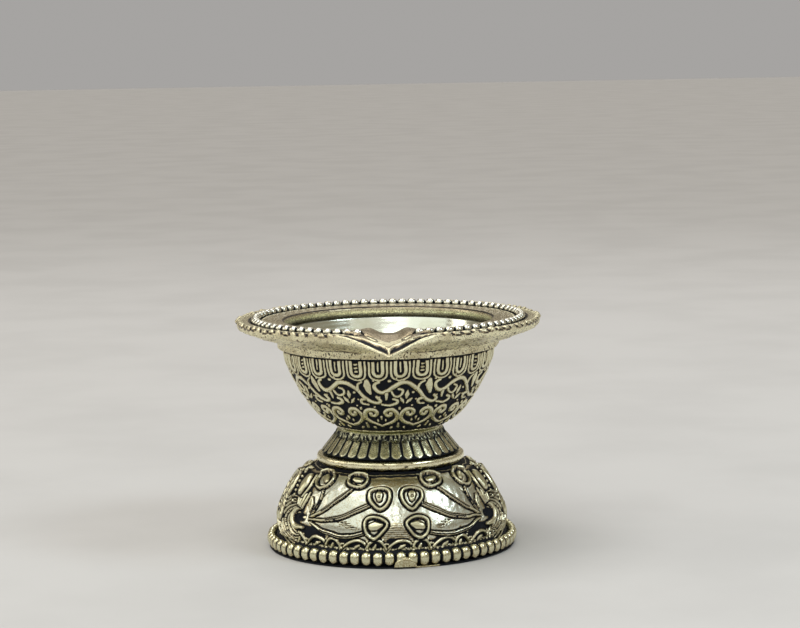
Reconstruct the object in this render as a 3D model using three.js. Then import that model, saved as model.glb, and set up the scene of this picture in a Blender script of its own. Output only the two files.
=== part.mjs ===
// A small cast-brass diya (oil lamp) with a beaded rim, a pouring spout and a hollow domed foot.
// Millimetres, +Z up, standing on z = 0. The spout points along -Y.
// Every ring is drawn about the lamp's own axis. At the end the whole lamp is moved along +Y by
// half of the spout's overhang, so that the origin is the middle of its outline on the floor.

import * as THREE from "three";

// ---- driving sizes ----

const CLEARANCE = 0.3;         // gap between pieces that touch on the real lamp

const RIM_R = 38;              // flange's outer radius: a 76 mm lamp
const MOUTH_R = 26.1;          // opening of the flange
const RIM_TOP = 57.4;          // height of the flange's upper face
const SKIRT_BOTTOM = 50.3;     // lower edge of the plain ring under the flange
const SKIRT_R = 27.5;          // radius of that ring

const SPOUT_REACH = 6.5;       // how far the spout's tip stands out past the flange
const SPOUT_DIP = 4.1;         // how far the tip's upper edge drops below the flange
const SPOUT_UNDER_DIP = 2.8;   // the same for its lower edge, so that the lip thins out
const SPOUT_HALF_ANGLE = 19;   // degrees either side of the tip
const SPOUT_ROOT_R = 30;       // radius where the pull towards the tip begins
const CHANNEL_DEPTH = 0.9;     // trough that carries the wick
const CHANNEL_HALF_ANGLE = 7;  // degrees

const RIM_BEADS = { count: 78, ringR: 33.3, z: 57.55, radius: 1.05, waist: 0.72 };
const RIM_BEAD_GAP = 10.5;     // degrees either side of the spout without beads
const FOOT_BEADS = { count: 68, ringR: 30.5, z: 2.35, radius: 1.0, waist: 0.68, stretch: 1.6 };
const FOOT_FIRST_BEAD = 4;     // degrees from the spout to the middle of a bead

const BOWL_SEAT = 30.1;        // underside of the bowl, on the collar
const BOWL_SEAT_R = 13.2;
const BOWL_WALL_R = 26.2;      // outside of the bowl where the flange holds it
const BOWL_FLOOR = 36;         // deepest point inside
const BOWL_LEDGE = 54.6;       // the bowl's upper edge, inside the flange

const COLLAR = { bottom: 23.65, top: 29.8, footR: 17.3, topR: 13.3, flutes: 36, depth: 0.45 };
const SEAM_RING = { bottom: 21.65, top: 23.35, outerR: 18.5 };

const DOME_TOP = 21.35;        // flat that carries the seam ring
const DOME_TOP_R = 17.6;
const DOME_CEILING = 18.7;     // underside of that flat
const FOOT_R = 29.2;           // foot's edge, inside the bead ring
const FOOT_TOP = 3.3;
const FOOT_LIP_R = 30.9;       // thin lip under the beads
const FOOT_LIP = 0.5;
const FOOT_RING_R = 26.8;      // inner edge of the flat ring that the lamp stands on

const STUD_R = 2.5;            // M5
const STUD = { bottom: 12.1, top: 33.7 };
const BORE_R = STUD_R + CLEARANCE;
const WASHER = { bottom: 17.4, top: 18.4, outerR: 6.5 };
const NUT = { bottom: 13.1, top: 17.1, flats: 8 };

const RING_STEPS = 48;         // facets round a plain ring
const FLANGE_STEPS = 72;

// ---- materials ----

const BRASS = { color: 0xb7ad84, roughness: 0.36, metalness: 1 };
const POLISHED_BRASS = { color: 0xcfc7a0, roughness: 0.18, metalness: 1 };
const DARK_BRASS = { color: 0x77715a, roughness: 0.5, metalness: 1 };
const STEEL = { color: 0x9b9c9c, roughness: 0.4, metalness: 1 };

// ---- helpers ----

// Points [r, z] of a smooth stretch through a few given ones.
function smooth(points, steps) {
  const curve = new THREE.SplineCurve(points.map(([r, z]) => new THREE.Vector2(r, z)));
  return curve.getPoints(steps).map((point) => [point.x, point.y]);
}

// A ring or a cup about the Z axis. The section runs up its outside and comes back down its inside.
function turned(section, steps) {
  const points = section.map(([r, z]) => new THREE.Vector2(r, z));
  return new THREE.LatheGeometry(points, steps).rotateX(Math.PI / 2);
}

// The same for a ring with a hole through it, whose section closes on itself.
function turnedRing(section, steps) {
  return turned([...section, section[0]], steps);
}

// Moves each point of a geometry, given as its angle from the spout, radius and height.
function reshape(geometry, move) {
  const position = geometry.attributes.position;
  for (let i = 0; i < position.count; i += 1) {
    const x = position.getX(i);
    const y = position.getY(i);
    const start = { angle: Math.atan2(x, -y), r: Math.hypot(x, y), z: position.getZ(i) };
    const end = { ...start, ...move(start) };
    position.setXYZ(i, end.r * Math.sin(end.angle), -end.r * Math.cos(end.angle), end.z);
  }
  geometry.computeVertexNormals();
  return geometry;
}

// 0 between two of the count repeats round the axis and 1 on the middle of each.
function ripple(angle, count) {
  return Math.abs(Math.sin((angle * count) / 2));
}

// 1 at the spout's centre line, 0 from halfAngle (in degrees) outwards.
function nearSpout(angle, halfAngle) {
  return Math.max(0, 1 - Math.abs(angle) / THREE.MathUtils.degToRad(halfAngle));
}

// ---- bowl and flange ----

function bowl() {
  const blindHole = [[0, STUD.top + CLEARANCE], [BORE_R, STUD.top + CLEARANCE], [BORE_R, BOWL_SEAT]];
  const outside = smooth([[BOWL_SEAT_R, BOWL_SEAT + 0.4], [18.2, 34.4], [23.2, 41], [26.4, 49.8]], 7);
  const edge = [[BOWL_WALL_R, 50.1], [BOWL_WALL_R, BOWL_LEDGE], [BOWL_WALL_R - 1.2, BOWL_LEDGE]];
  const inside = smooth([[24.6, 50], [20.2, 41.2], [10, 36.5], [0, BOWL_FLOOR]], 8);
  return turned([...blindHole, [BOWL_SEAT_R, BOWL_SEAT], ...outside, ...edge, ...inside], RING_STEPS);
}

// The groove that holds the rim's beads fades out where the beads stop at the spout.
const GROOVE_R = RIM_BEADS.radius + CLEARANCE;

function flangeSection() {
  const bead = RIM_BEADS;
  const groove = [
    [bead.ringR - GROOVE_R, RIM_TOP - 0.1],
    [bead.ringR - 0.75 * GROOVE_R, bead.z - 0.72 * GROOVE_R],
    [bead.ringR, bead.z - 1.04 * GROOVE_R],
    [bead.ringR + 0.75 * GROOVE_R, bead.z - 0.72 * GROOVE_R],
    [bead.ringR + GROOVE_R, RIM_TOP],
  ];
  const edge = [[36.9, RIM_TOP], [37.7, 57.2], [RIM_R, 56.7], [37.7, 56], [36.9, 55.5]];
  const skirt = [[32.4, 53.5], [SKIRT_R, 51.9], [SKIRT_R, SKIRT_BOTTOM]];
  const boreR = BOWL_WALL_R + CLEARANCE;
  const bore = [[boreR, SKIRT_BOTTOM], [boreR, BOWL_LEDGE + CLEARANCE], [MOUTH_R, BOWL_LEDGE + CLEARANCE]];
  const outwards = [[MOUTH_R, 57], [27, RIM_TOP - 0.1], ...groove, ...edge, ...skirt, ...bore];
  return outwards.reverse();
}

// Pulls the flange out and down into the pointed spout and sinks the wick's channel into it.
function pullSpout({ angle, r, z }) {
  const pull = nearSpout(angle, SPOUT_HALF_ANGLE) ** 1.5;
  const out = THREE.MathUtils.clamp((r - SPOUT_ROOT_R) / (RIM_R - SPOUT_ROOT_R), 0, 1);
  const top = THREE.MathUtils.smoothstep(z, 55.5, RIM_TOP);
  const dip = THREE.MathUtils.lerp(SPOUT_UNDER_DIP, SPOUT_DIP, top) * pull * out;
  const inBeadGap = Math.abs(angle) < THREE.MathUtils.degToRad(RIM_BEAD_GAP);
  const onGroove = z > 55 && Math.abs(r - RIM_BEADS.ringR) < GROOVE_R;
  const level = inBeadGap && onGroove ? RIM_TOP - 0.1 : z;
  const isUpperFace = level > 56.8 && r < 36;
  const channel = isUpperFace ? CHANNEL_DEPTH * nearSpout(angle, CHANNEL_HALF_ANGLE) : 0;
  return { r: r + SPOUT_REACH * pull * out, z: level - dip - channel };
}

function rimFlange() {
  const ring = turnedRing(flangeSection(), FLANGE_STEPS);
  // More of the facets go where the spout is.
  const crowded = reshape(ring, ({ angle }) => ({ angle: angle - 0.55 * Math.sin(angle) }));
  return reshape(crowded, pullSpout);
}

// ---- beads ----

// A straight beaded wire, turned about its own length and then bent round the rim.
function rimBeadRing() {
  const { count, ringR, z, radius, waist } = RIM_BEADS;
  const free = THREE.MathUtils.degToRad(RIM_BEAD_GAP + 0.6);
  const sweep = 2 * Math.PI - 2 * free;
  const profile = [new THREE.Vector2(0, 0)];
  for (let i = 0; i <= 2 * count; i += 1) {
    const r = i % 2 === 0 ? waist : radius;
    profile.push(new THREE.Vector2(r, i / (2 * count)));
  }
  profile.push(new THREE.Vector2(0, 1));
  const wire = new THREE.LatheGeometry(profile, 6);
  const position = wire.attributes.position;
  for (let i = 0; i < position.count; i += 1) {
    const angle = free + sweep * position.getY(i);
    const r = ringR + position.getX(i);
    const height = z - position.getZ(i);
    position.setXYZ(i, -r * Math.sin(angle), -r * Math.cos(angle), height);
  }
  wire.computeVertexNormals();
  return wire;
}

// A closed ring of upright oval beads round the foot.
function footBeadRing() {
  const { count, ringR, z, radius, waist, stretch } = FOOT_BEADS;
  const firstWaist = THREE.MathUtils.degToRad(FOOT_FIRST_BEAD) + Math.PI / count;
  const ring = new THREE.TorusGeometry(ringR, radius, 6, 2 * count).rotateZ(firstWaist - Math.PI / 2);
  return reshape(ring, (start) => {
    const size = THREE.MathUtils.lerp(waist, 1, ripple(start.angle - firstWaist, count));
    return { r: ringR + (start.r - ringR) * size, z: z + start.z * size * stretch };
  });
}

// ---- neck ----

function neckCollar() {
  const { bottom, top, footR, topR, flutes, depth } = COLLAR;
  const flare = smooth([[footR, bottom + 0.6], [14.8, 27], [topR, top - 0.7]], 4);
  const section = [[BORE_R, bottom], [footR - 0.5, bottom], ...flare, [topR, top], [BORE_R, top]];
  return reshape(turnedRing(section, 2 * flutes), ({ angle, r, z }) => {
    const fluted = z > bottom && z < top - 0.5 && r > BORE_R + 1;
    return { r: fluted ? r - depth * (1 - ripple(angle, flutes)) : r };
  });
}

function seamRing() {
  const { bottom, top, outerR } = SEAM_RING;
  const half = (top - bottom) / 2;
  const section = [[BORE_R, bottom]];
  for (let i = 0; i <= 4; i += 1) {
    const turn = (i / 4 - 0.5) * Math.PI;
    section.push([outerR - half + half * Math.cos(turn), bottom + half + half * Math.sin(turn)]);
  }
  return turnedRing([...section, [BORE_R, top]], RING_STEPS);
}

// ---- base ----

function baseDome() {
  const lip = [[FOOT_RING_R, 0], [FOOT_LIP_R, 0], [FOOT_LIP_R, FOOT_LIP]];
  const foot = [...lip, [FOOT_R, FOOT_LIP], [FOOT_R, FOOT_TOP]];
  const dome = smooth([[28, 4.4], [28.2, 8.5], [25.3, 15], [21, 19.8]], 8);
  const top = [[18.2, 20.6], [DOME_TOP_R, DOME_TOP], [BORE_R, DOME_TOP], [BORE_R, DOME_CEILING]];
  const inside = smooth([[16, DOME_CEILING], [21.9, 15.6], [25.7, 9.5], [26.4, 3]], 7);
  return turnedRing([...foot, ...dome, ...top, ...inside], RING_STEPS);
}

// ---- fastening ----

function tieStud() {
  const length = STUD.top - STUD.bottom;
  const stud = new THREE.CylinderGeometry(STUD_R, STUD_R, length, 24).rotateX(Math.PI / 2);
  return stud.translate(0, 0, STUD.bottom + length / 2);
}

function washer() {
  const { bottom, top, outerR } = WASHER;
  return turnedRing([[BORE_R, bottom], [outerR, bottom], [outerR, top], [BORE_R, top]], 24);
}

function hexNut() {
  const centre = new THREE.Vector2();
  const corners = [];
  for (let i = 0; i < 6; i += 1) {
    const corner = new THREE.Vector2(NUT.flats / Math.sqrt(3), 0);
    corners.push(corner.rotateAround(centre, (i * Math.PI) / 3));
  }
  const outline = new THREE.Shape(corners);
  outline.holes.push(new THREE.Path().absarc(0, 0, BORE_R, 0, 2 * Math.PI, true));
  const height = NUT.top - NUT.bottom;
  const nut = new THREE.ExtrudeGeometry(outline, { depth: height, bevelEnabled: false });
  return nut.translate(0, 0, NUT.bottom);
}

// ---- assembly ----

const PIECES = [
  ["bowl", bowl, POLISHED_BRASS],
  ["rim_flange", rimFlange, BRASS],
  ["rim_bead_ring", rimBeadRing, BRASS],
  ["neck_collar", neckCollar, DARK_BRASS],
  ["seam_ring", seamRing, BRASS],
  ["base_dome", baseDome, BRASS],
  ["foot_bead_ring", footBeadRing, BRASS],
  ["tie_stud", tieStud, STEEL],
  ["washer", washer, STEEL],
  ["hex_nut", hexNut, STEEL],
];

const lamp = new THREE.Group();
for (const [name, build, finish] of PIECES) {
  const mesh = new THREE.Mesh(build(), new THREE.MeshStandardMaterial(finish));
  mesh.name = name;
  mesh.position.y = SPOUT_REACH / 2;
  lamp.add(mesh);
}

export default lamp;
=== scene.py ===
# A small cast-brass diya: its looks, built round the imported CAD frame.
# Shapes are worked out in millimetres about the lamp's own axis and turned into metres when a mesh
# is made. Angles are in degrees, 0 at the spout (-Y) and 90 towards +X. A section is a list of
# (radius, height) points that runs up the outside of a turned surface.
import math
from functools import partial

import bpy
import numpy as np
from mathutils import Matrix, Vector


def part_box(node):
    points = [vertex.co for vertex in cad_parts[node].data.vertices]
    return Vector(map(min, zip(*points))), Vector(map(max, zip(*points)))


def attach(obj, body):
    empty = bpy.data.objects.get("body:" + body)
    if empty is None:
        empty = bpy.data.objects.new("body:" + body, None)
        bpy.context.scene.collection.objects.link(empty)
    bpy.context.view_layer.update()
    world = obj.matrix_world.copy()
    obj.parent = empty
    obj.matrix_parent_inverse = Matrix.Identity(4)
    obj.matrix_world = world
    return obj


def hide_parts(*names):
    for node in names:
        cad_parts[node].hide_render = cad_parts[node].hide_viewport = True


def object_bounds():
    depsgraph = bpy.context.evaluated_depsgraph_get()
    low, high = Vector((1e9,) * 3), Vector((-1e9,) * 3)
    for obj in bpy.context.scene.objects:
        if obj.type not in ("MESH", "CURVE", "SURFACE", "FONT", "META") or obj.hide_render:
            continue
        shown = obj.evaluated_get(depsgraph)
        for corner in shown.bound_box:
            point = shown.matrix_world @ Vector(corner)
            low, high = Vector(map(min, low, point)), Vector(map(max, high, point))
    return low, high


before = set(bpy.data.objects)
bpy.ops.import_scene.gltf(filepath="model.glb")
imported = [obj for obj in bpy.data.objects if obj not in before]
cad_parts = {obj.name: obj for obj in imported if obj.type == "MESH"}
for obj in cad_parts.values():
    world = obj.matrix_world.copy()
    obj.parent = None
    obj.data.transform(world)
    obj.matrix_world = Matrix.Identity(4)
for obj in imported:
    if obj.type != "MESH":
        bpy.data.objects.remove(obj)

MM = 0.001
cad_low, cad_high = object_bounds()


# ---- places in the frame ----

def span(node):
    """Bottom, top and outer radius of a CAD node, in millimetres."""
    low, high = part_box(node)
    return low.z / MM, high.z / MM, (high.x - low.x) / 2 / MM


dome_low, dome_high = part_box("base_dome")
AXIS_Y = (dome_low.y + dome_high.y) / 2

SKIRT_BOTTOM, RIM_TOP, RIM_R = span("rim_flange")
SPOUT_REACH = (AXIS_Y - cad_low.y) / MM - RIM_R
BOWL_SEAT, BOWL_LEDGE, BOWL_R = span("bowl")
COLLAR_BOTTOM, COLLAR_TOP, COLLAR_R = span("neck_collar")
SEAM_BOTTOM, SEAM_R = span("seam_ring")[::2]
DOME_TOP, LIP_R = span("base_dome")[1:]
STUD_BOTTOM, STUD_TOP, STUD_R = span("tie_stud")
WASHER_BOTTOM, WASHER_TOP, WASHER_R = span("washer")
NUT_BOTTOM, NUT_TOP = span("hex_nut")[:2]
CLEARANCE = 0.3
BORE_R = STUD_R + CLEARANCE


# ---- curves ----

def smooth(points, samples=12):
    """Points along a Catmull-Rom curve through the given ones."""
    p = np.array(points, float)
    p = np.vstack([2 * p[:1] - p[1:2], p, 2 * p[-1:] - p[-2:-1]])
    t = np.linspace(0, 1, samples, endpoint=False)[:, None]
    parts = []
    for a, b, c, d in zip(p, p[1:], p[2:], p[3:]):
        bend = (2 * a - 5 * b + 4 * c - d) * t**2 + (3 * b - a - 3 * c + d) * t**3
        parts.append(b + 0.5 * ((c - a) * t + bend))
    return np.vstack(parts + [p[-2:-1]])


def loop(points):
    """The same for a curve that closes on itself, with its corners rounded off."""
    turns = len(points)
    line = smooth(list(points) * 3, 8)[8 * turns:16 * turns]
    rounded = sum(np.roll(line, k, axis=0) for k in range(-3, 4)) / 7
    return np.vstack([rounded, rounded[:1]])


def lengths(points):
    """Distance along a line to each of its points."""
    steps = np.hypot(*np.diff(points, axis=0).T)
    return np.concatenate([[0], np.cumsum(steps)])


def even(points, step):
    """The same line with points a step apart."""
    points = np.array(points, float)
    along = lengths(points)
    places = np.linspace(0, along[-1], max(2, round(along[-1] / step) + 1))
    return np.stack([np.interp(places, along, points[:, k]) for k in (0, 1)], 1)


def outward(section):
    """Unit normals of a section."""
    tangent = np.gradient(section, axis=0)
    tangent /= np.maximum(np.hypot(*tangent.T), 1e-9)[:, None]
    return np.stack([tangent[:, 1], -tangent[:, 0]], 1)


def ramp(value, low, high):
    """0 below low, 1 above high and smooth in between."""
    t = np.clip((value - low) / (high - low), 0, 1)
    return t * t * (3 - 2 * t)


def wander(angle, rise, turns, seed, waves=16):
    """Smooth noise from about -1 to 1, with up to so many waves in a turn."""
    dice = np.random.default_rng(seed)
    total = np.zeros(np.broadcast_shapes(angle.shape, rise.shape))
    for _ in range(waves):
        around = dice.integers(1, turns + 1)
        climb = dice.normal(0, turns / 60)
        phase = dice.uniform(0, 2 * math.pi)
        total += np.sin(np.radians(angle) * around + rise * climb + phase)
    return total * math.sqrt(2 / waves)


# ---- meshes ----

def grid_faces(rows, columns, wrap_rows, wrap_columns):
    """Quads of a grid of points, facing away from the axis when the rows run up the outside."""
    i = np.arange(rows if wrap_rows else rows - 1)[:, None]
    j = np.arange(columns if wrap_columns else columns - 1)[None, :]
    above, beside = (i + 1) % rows, (j + 1) % columns
    corners = [i * columns + j, i * columns + beside, above * columns + beside, above * columns + j]
    return np.stack(np.broadcast_arrays(*corners), -1).reshape(-1, 4)


def add_bake_map(mesh, rows, columns):
    """A UV map that lays a turned surface out as a few long strips, one above another."""
    strips = max(1, round(math.sqrt(columns / rows)))
    per_strip = math.ceil(columns / strips)
    face = np.arange(rows * columns)[:, None]
    strip = face % columns // per_strip
    column = face % columns - strip * per_strip + np.array([0, 1, 1, 0])
    row = face // columns + np.array([0, 0, 1, 1])
    uv = np.stack([0.01 + 0.98 * column / per_strip, (strip + 0.02 + 0.96 * row / rows) / strips], -1)
    mesh.uv_layers.new(name="OFBake").uv.foreach_set("vector", uv.astype(np.float32).ravel())


def add_object(name, data):
    """A new object in the scene."""
    made = bpy.data.objects.new(name, data)
    bpy.context.scene.collection.objects.link(made)
    return made


def turned(name, angle, r, z, ring=True, whole=True, patina=0.0):
    """A mesh with a column of points for each angle and a row for each point of the section. A ring's
    section closes on itself, and a whole turn's columns do. Open ends are closed with flat caps."""
    rows, columns = np.broadcast_shapes(np.shape(r), np.shape(z), (1, len(angle)))
    turn = np.radians(angle)[None, :]
    across, along, height = np.broadcast_arrays(r * np.sin(turn), -r * np.cos(turn), z)
    points = np.stack([across, along, height], -1).reshape(-1, 3) * MM + (0, AXIS_Y, 0)
    faces = grid_faces(rows, columns, ring, whole).tolist()
    if not ring:
        faces.append(list(range(columns))[::-1])
        faces.append(list(range((rows - 1) * columns, rows * columns)))
    if not whole:
        faces.append(list(range(0, rows * columns, columns)))
        faces.append(list(range(columns - 1, rows * columns, columns))[::-1])
    mesh = bpy.data.meshes.new(name)
    mesh.from_pydata(points, [], faces)
    mesh.shade_smooth()
    if ring and whole:
        add_bake_map(mesh, rows, columns)
    values = np.broadcast_to(patina, (rows, columns)).astype(np.float32).ravel()
    mesh.attributes.new("patina", "FLOAT", "POINT").data.foreach_set("value", values)
    return add_object(name, mesh)


def all_round(columns):
    """The angles of so many evenly spaced columns."""
    return np.arange(columns) * 360 / columns - 180


def place(piece, material, slot, *nodes):
    """Gives a piece its material and its place in the frame."""
    piece.data.materials.append(material)
    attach(piece, "root")
    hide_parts(*nodes)


# ---- relief ----

class Relief:
    """Raised work on a turned surface: a height and a patina for each point of its grid. A path is a
    list of (degrees round the axis, millimetres up the section) points; zero is how far up the
    section the paths start to count."""

    def __init__(self, section, columns, ground=0.0, seed=1, wobble=0.07, zero=0.0):
        self.section = section
        self.columns = all_round(columns)
        self.rises = lengths(section) - zero
        self.radius = section[:, :1]
        grid = self.columns[None, :], self.rises[:, None]
        self.angle = grid[0] + wander(*grid, 40, seed) * wobble * 1.8
        self.rise = grid[1] + wander(*grid, 40, seed + 1) * wobble
        self.height = np.zeros(self.angle.shape)
        self.patina = np.full(self.angle.shape, float(ground))

    def rise_at(self, r, z):
        """How far up the section its nearest point to a radius and height is."""
        return float(self.rises[np.argmin(np.hypot(self.section[:, 0] - r, self.section[:, 1] - z))])

    def stroke(self, path, width, height, groove=0.0, cut=0.12, every=360.0, start=0.0, flat=2.0, base=0.0):
        """Raises a rounded ridge along a path, or sinks it where height is below 0. width is its
        half-width, or several from its start to its end. groove is the width of a dark line round it
        and cut that line's depth. A higher flat makes it squarer, and base is the least level that it
        stands on. It is repeated every so many degrees from start. Two points close together make a
        round boss."""
        path = np.array(path, float)
        widths = np.atleast_1d(width)
        reach = widths.max() + groove + 0.2
        low, high = path.min(0), path.max(0)
        rows = np.nonzero((self.rises > low[1] - reach - 0.3) & (self.rises < high[1] + reach + 0.3))[0]
        if not len(rows):
            return
        pad = np.degrees(reach / self.radius[rows].min()) + 0.6
        folded = (self.columns - start + every / 2) % every - every / 2
        for shift in (-every, 0, every):
            local = folded + shift
            columns = np.nonzero((local > low[0] - pad) & (local < high[0] + pad))[0]
            if len(columns):
                self.press(rows, columns, local[columns], path, widths, height, groove, cut, flat, base)

    def press(self, rows, columns, local, path, widths, height, groove, cut, flat, base):
        """Works one stroke into a block of the grid."""
        block = np.ix_(rows, columns)
        angle = local[None, :] + (self.angle[block] - self.columns[columns])
        rise = self.rise[block]
        scale = np.radians(1) * self.radius[rows]
        nearest = np.full(angle.shape, np.inf)
        along = np.zeros(angle.shape)
        for i, (a, b) in enumerate(zip(path, path[1:])):
            across, up = (angle - a[0]) * scale, rise - a[1]
            run, climb = (b[0] - a[0]) * scale, b[1] - a[1]
            t = np.clip((across * run + up * climb) / (run**2 + climb**2 + 1e-12), 0, 1)
            distance = np.hypot(across - t * run, up - t * climb)
            closer = distance < nearest
            nearest[closer] = distance[closer]
            along[closer] = ((i + t) / (len(path) - 1))[closer]
        width = np.interp(along, np.linspace(0, 1, len(widths)), widths)
        share = nearest / np.maximum(width, 1e-6)
        inside = share < 1
        swell = np.sqrt(np.clip(1 - share**flat, 0, 1))
        level, dark = self.height[block], self.patina[block]
        if height < 0:
            self.height[block] = level + height * swell
            self.patina[block] = np.maximum(dark, ramp(swell, 0.2, 0.8))
            return
        if groove:
            ring = np.clip(1.3 - np.abs(nearest - width - groove / 2) / (groove / 2), 0, 1) * ~inside
            level = level - cut * ring
            dark = np.maximum(dark, ramp(ring, 0.1, 0.7))
        self.height[block] = np.where(inside, np.maximum(level, base + height * swell), level)
        self.patina[block] = np.where(inside, ramp(share, 0.68, 1.0), dark)

    def mirrored(self, path, *args, **kwargs):
        """A stroke and its mirror image."""
        self.stroke(path, *args, **kwargs)
        self.stroke([(-angle, rise) for angle, rise in path], *args, **kwargs)

    def darken(self, amount):
        """Adds patina where amount, a grid from 0 to 1, asks for it."""
        self.patina = np.maximum(self.patina, np.clip(amount, 0, 1))

    def roughen(self, amount, seed):
        """Adds the uneven skin of a sand casting."""
        grain = np.random.default_rng(seed).normal(0, 1, self.height.shape)
        swell = wander(self.columns[None, :], self.rises[:, None], 90, seed)
        self.height += amount * grain + 2 * amount * swell

    def sleeve(self, name, back, reshape=None, back_patina=0.0):
        """A closed ring with the relief on its outside and back, more of its section, behind it."""
        normal = outward(self.section)
        front_r = self.section[:, :1] + self.height * normal[:, :1]
        front_z = self.section[:, 1:] + self.height * normal[:, 1:]
        rear = np.array(back)
        flat = np.ones((1, len(self.columns)))
        r = np.vstack([front_r, rear[:, :1] * flat])
        z = np.vstack([front_z, rear[:, 1:] * flat])
        if reshape:
            r, z = reshape(self.columns[None, :], r, z)
        patina = np.vstack([self.patina, np.full((len(rear), len(self.columns)), back_patina)])
        return turned(name, self.columns, r, z, patina=patina)


def behind(section, thickness, step=2.5):
    """The hidden inner face of a thin sleeve, running back down."""
    coarse = even(section, step)
    return (coarse - thickness * outward(coarse))[::-1]


# ---- bowl ----

BOWL_GROUND = smooth([(13.2, 30.5), (17.4, 33.5), (21.1, 38), (23.9, 43), (25.7, 47), (26.25, 50.2)])
TONGUES = 30
VINES = 10
HEARTS = 14
TONGUE_FOOT = 18.75
HEART_FOOT = 4.0


def in_degrees(points, at_radius):
    """Turns (millimetres round, millimetres up) points into (degrees, millimetres up) ones."""
    return [(math.degrees(across / at_radius), up) for across, up in points]


def work_tongues(bowl):
    """The row of upright U-shaped tongues under the flange."""
    pitch = 360 / TONGUES

    def draw(points, width, height, count=1, first=0, **kwargs):
        path = [(angle, TONGUE_FOOT + up) for angle, up in in_degrees(points, 25.9)]
        bowl.stroke(path, width, height, every=pitch * count, start=pitch * (first + 0.5), **kwargs)

    outer = [(-2.2, 5.8), (-2.2, 2), (-1.6, 0.75), (0, 0.25), (1.6, 0.75), (2.2, 2), (2.2, 5.8)]
    inner = [(-1.15, 5.6), (-1.15, 2.2), (0, 1.35), (1.15, 2.2), (1.15, 5.6)]
    draw(smooth(outer, 6), 0.3, 0.32)
    draw(smooth(inner, 6), 0.48, 0.36, flat=3)
    for first in range(0, 3, 2):
        draw([(0, 4.8), (0, 2.6)], 0.22, 0.28, count=3, first=first)
    for up in (2.6, 3.5, 4.4):
        draw([(-0.2, up), (0.3, up + 0.1)], 0.28, 0.3, count=3, first=1)


def work_vine(bowl):
    """The running vine with its bell leaves, curls and little flowers."""

    def draw(points, width, height=0.4, **kwargs):
        bowl.stroke(points, width, height, every=360 / VINES, start=-8.2, **kwargs)

    rising = [(2.2, 18.5), (0.1, 17.9), (-0.2, 16.9), (1.6, 15.8), (4.7, 15.5), (8, 16.2), (11.2, 17.3)]
    falling = [(14.4, 18.2), (18.7, 18.2), (22.4, 17.1), (26, 15.6), (28.9, 14.1), (32.6, 12.8)]
    stem = rising + falling + [(36.6, 12.3), (38.6, 13), (36.6, 14.1)]
    draw(smooth(stem, 4), (0.45, 0.62, 0.68, 0.68, 0.62, 0.58, 0.5), 0.45)
    draw(smooth([(25, 16.4), (26, 17.7), (28.5, 18.6)], 4), (0.45, 0.3))
    draw([(31.4, 18.8), (31.5, 17.6), (32.1, 16.4), (33, 15.1)], (0.65, 1.1, 0.85, 0.4), flat=3)
    draw(smooth([(29, 13.5), (26.6, 13.2), (26.8, 12.1), (30.7, 11.8)], 4), (0.52, 0.44, 0.3))
    draw(smooth([(3.6, 11.9), (8.8, 11.6), (12.7, 12.2), (12.9, 13), (10.6, 13.5)], 4), (0.38, 0.52, 0.42))
    draw(smooth([(9.5, 15.6), (10.6, 14.7), (13.4, 14.2), (15.8, 14.9), (16.1, 16.1), (13.6, 16.6)], 4), 0.38)
    draw([(19.3, 16), (18.7, 13.6)], (0.14, 0.68, 0.16))
    draw([(15.1, 13.9), (17.4, 12.2)], (0.16, 0.58, 0.16))
    draw([(22.2, 13.6), (19, 12.1)], (0.16, 0.6, 0.16))
    draw([(6.2, 15.2), (6.5, 13.4)], (0.55, 0.3))
    for angle, rise, size in ((22.6, 15.3, 0.4), (8.3, 18.8, 0.5), (35.2, 18.9, 0.35), (22.8, 11.4, 0.32),
                               (12, 19.6, 0.3), (24.6, 13.3, 0.3), (2.2, 14.2, 0.3), (34.4, 11, 0.3)):
        draw([(angle, rise), (angle + 0.05, rise)], size)


def work_hearts(bowl):
    """The row of scrolled hearts round the bottom of the bowl."""

    def draw(points, width, height=0.4, **kwargs):
        path = [(angle, HEART_FOOT + up) for angle, up in in_degrees(points, 18.5)]
        bowl.stroke(path, width, height, every=360 / HEARTS, start=-6.2, **kwargs)

    scroll = smooth([(0, 0), (1.6, 0.9), (3, 1.9), (3.75, 3.2), (3.5, 5), (2.6, 6.1), (1.5, 6), (0.95, 5),
                     (1.4, 4.1), (2.2, 4.2), (2.3, 4.9)], 4)
    for side in (1, -1):
        draw([(side * across, up) for across, up in scroll], (0.46, 0.6, 0.7, 0.58, 0.55))
        draw([(side * 2.1, -1.3), (side * 2.4, -0.7)], 0.34)
        draw([(side * 0.9, 1.9), (side * 0.9, 2.7)], (0.18, 0.3, 0.14))
    draw([(4.15, -0.6), (4.15, 1.1)], (0.45, 0.2))
    draw([(4.15, 6.3), (4.15, 6.7)], 0.36)
    draw([(0, 2.7), (0, 3.5)], (0.2, 0.34))


def bowl_bands():
    """The cast outside of the bowl: three bands of raised work on a blackened ground."""
    bowl = Relief(even(BOWL_GROUND, 0.16), 1200, ground=1.0, seed=3)
    bowl.roughen(0.012, 4)
    hem = bowl.rise_at(13.6, 30.9)
    bowl.stroke([(-181, hem), (181, hem)], 0.28, 0.25)
    work_tongues(bowl)
    work_vine(bowl)
    work_hearts(bowl)
    # Painted shade: the top of the band, under the flange's overhang, is blackened over the ends of the
    # tongues.
    bowl.darken(ramp(bowl.rise, bowl.rise_at(26.2, 49.6), bowl.rise_at(26.2, 50)))
    bowl.roughen(0.006, 5)
    return bowl.sleeve("bowl_bands", behind(BOWL_GROUND, 0.5))


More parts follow.
